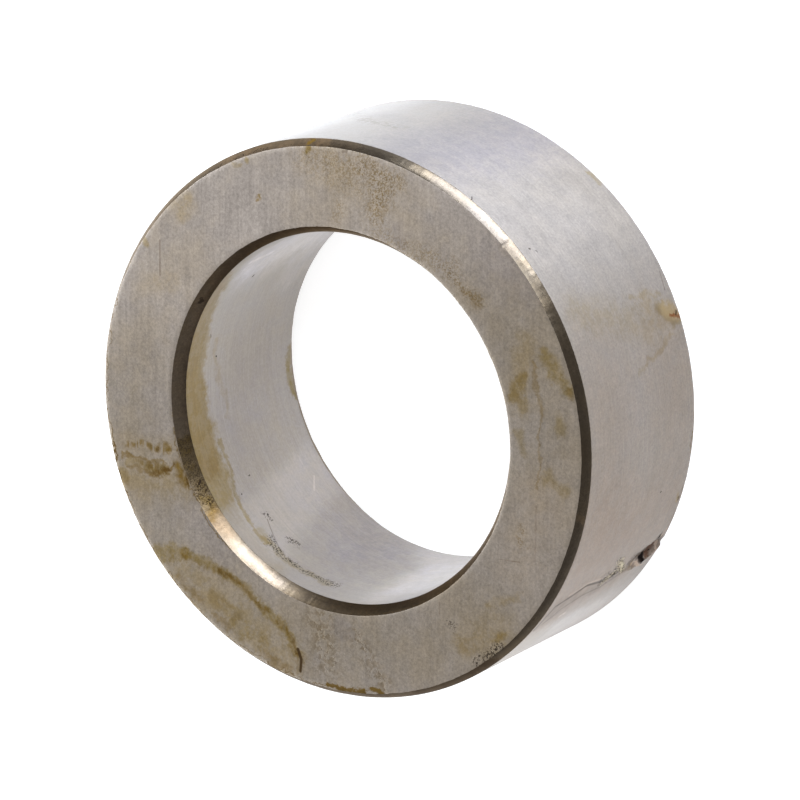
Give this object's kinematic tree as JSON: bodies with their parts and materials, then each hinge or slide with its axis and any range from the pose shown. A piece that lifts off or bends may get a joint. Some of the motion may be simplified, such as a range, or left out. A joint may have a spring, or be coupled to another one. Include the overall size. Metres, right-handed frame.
{
  "type": "spacer sleeve",
  "caption": "Thick ground steel spacer sleeve: a short plain ring with a smooth through bore, flat parallel end faces and chamfered edges, to space parts along a shaft.",
  "frame": {"origin": "centre of the ring's lower end face, on the ring's axis", "axes": "+Z along the ring's axis, from the lower end face to the upper one; +X and +Y lie in the end face, with the gouge in the outside 14 degrees past -Y towards -X"},
  "size_m": [0.06, 0.06, 0.0235],
  "materials": {
    "ground_steel": "ground bearing steel, satin, with dried oil stains, rust specks and dark turned chamfers"
  },
  "bodies": {
    "root": {"spacer_sleeve": "ground_steel"}
  },
  "joints": []
}
